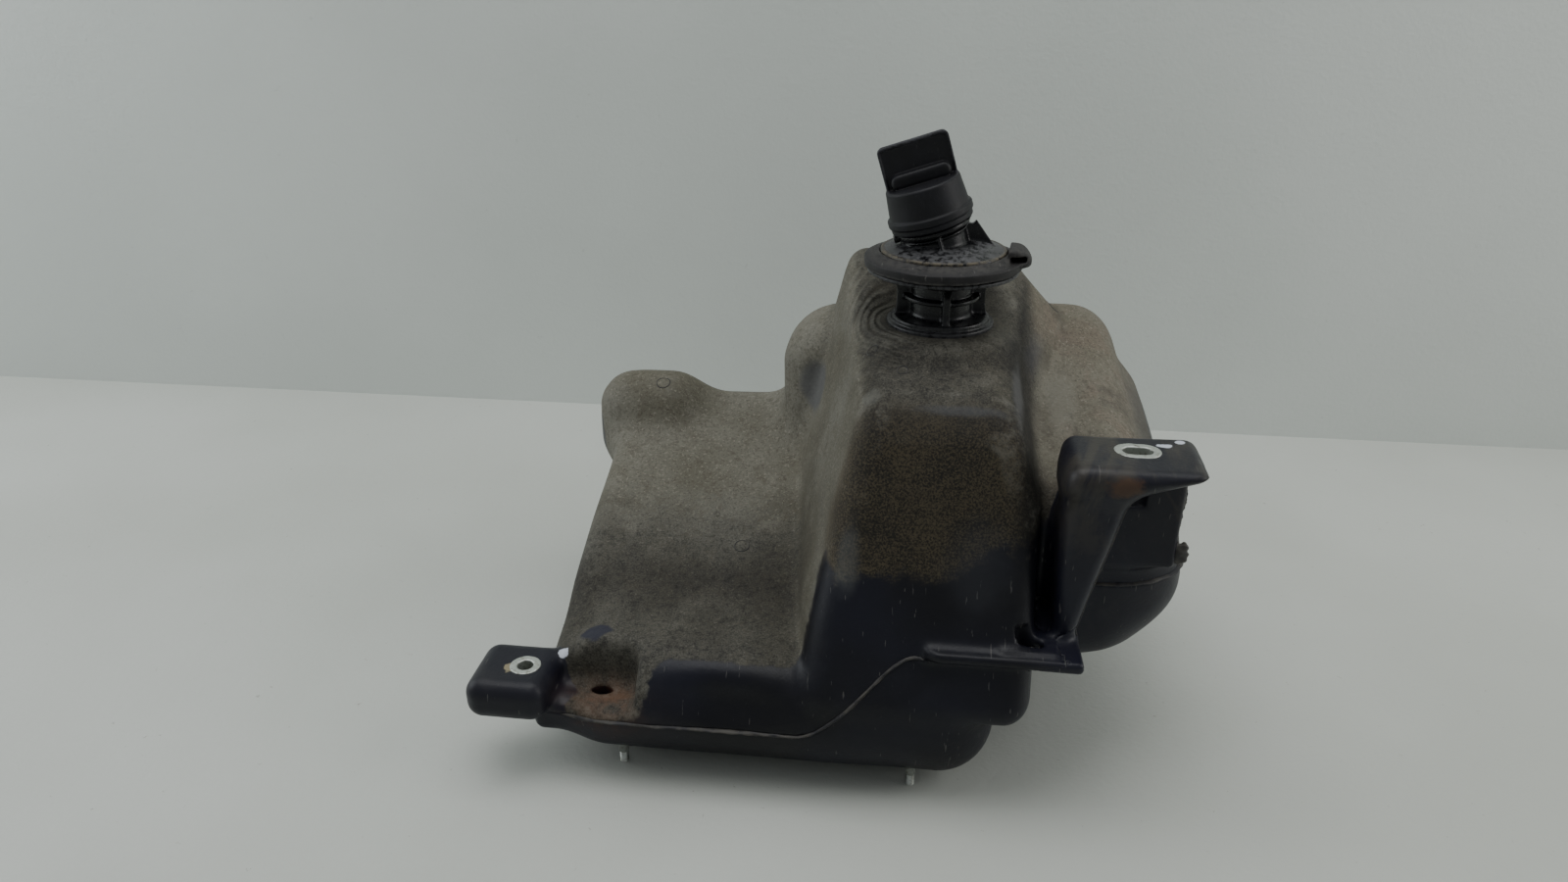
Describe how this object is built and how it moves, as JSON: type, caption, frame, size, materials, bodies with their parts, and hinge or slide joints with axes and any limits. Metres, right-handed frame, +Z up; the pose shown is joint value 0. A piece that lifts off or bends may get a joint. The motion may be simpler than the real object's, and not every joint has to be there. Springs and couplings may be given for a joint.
{
  "type": "fuel tank",
  "caption": "Moulded black plastic fuel tank with a raised filler neck, drip tray, grip cap, metal-lined mounting lugs and an internal pump and level sender.",
  "frame": {"origin": "middle of the footprint, on the ground the tank stands on", "axes": "+X to the right facing the filler side, +Y to the rear, +Z up"},
  "size_m": [0.4592, 0.3421, 0.3966],
  "materials": {
    "tank_plastic": "moulded high-density polyethylene, dull with fine grain",
    "neck_plastic": "glossy injection moulding",
    "cap_plastic": "matte charcoal moulding",
    "inner_plastic": "plain acetal",
    "pale_plastic": "pale board",
    "float_foam": "closed-cell foam",
    "rubber": "scuffed soft rubber",
    "mesh_fabric": "fine woven strainer cloth",
    "zinc_steel": "zinc plated, lightly dulled",
    "brass": "plain"
  },
  "bodies": {
    "tank": {"tank_upper_shell": "tank_plastic", "tank_lower_shell": "tank_plastic", "front_left_lug": "tank_plastic", "front_right_lug": "tank_plastic", "front_right_flange": "tank_plastic", "left_lug_bushing": "zinc_steel", "right_lug_bushing": "zinc_steel", "base_studs": "zinc_steel", "stud_bosses": "tank_plastic", "filler_neck": "neck_plastic", "drip_tray_seal": "rubber", "neck_inner_tube": "inner_plastic", "pump_collar": "tank_plastic", "pump_flange": "inner_plastic", "pump_flange_gasket": "rubber", "pump_lock_ring": "cap_plastic", "pump_bracket": "inner_plastic", "pump_housing": "zinc_steel", "pump_strainer": "mesh_fabric", "pump_outlet_hose": "rubber", "pressure_regulator": "brass", "connector_pins": "brass", "level_sender_card": "pale_plastic", "vent_valve_body": "inner_plastic"},
    "cap_core": {"cap_core": "inner_plastic", "cap_seal": "rubber", "cap_valve_retainer": "inner_plastic"},
    "cap_shell": {"cap_shell": "cap_plastic"},
    "cap_valve": {"cap_valve_disc": "inner_plastic", "cap_valve_spring": "zinc_steel"},
    "float": {"float_arm": "zinc_steel", "level_float": "float_foam"},
    "vent_ball": {"vent_valve_ball": "zinc_steel"}
  },
  "joints": [
    {"name": "cap_lift", "type": "slide", "parent": "tank", "child": "cap_core", "axis": [-0.2902, -0.0356, 0.9563], "range_m": [0, 0.06]},
    {"name": "cap_turn", "type": "hinge", "parent": "cap_core", "child": "cap_shell", "pos_m": [0.0532, 0.00729, 0.33913], "axis": [-0.2902, -0.0356, 0.9563], "range_deg": [0, 90]},
    {"name": "relief_valve", "type": "slide", "parent": "cap_core", "child": "cap_valve", "axis": [-0.2902, -0.0356, 0.9563], "range_m": [0, 0.0012], "stiffness_N_per_m": 150, "springref_m": -0.001},
    {"name": "float_swing", "type": "hinge", "parent": "tank", "child": "float", "pos_m": [0.036, 0.072, 0.12], "axis": [0, 1, 0], "range_deg": [0, 46]},
    {"name": "vent_ball_lift", "type": "slide", "parent": "tank", "child": "vent_ball", "axis": [0, 0, 1], "range_m": [0, 0.012]}
  ]
}
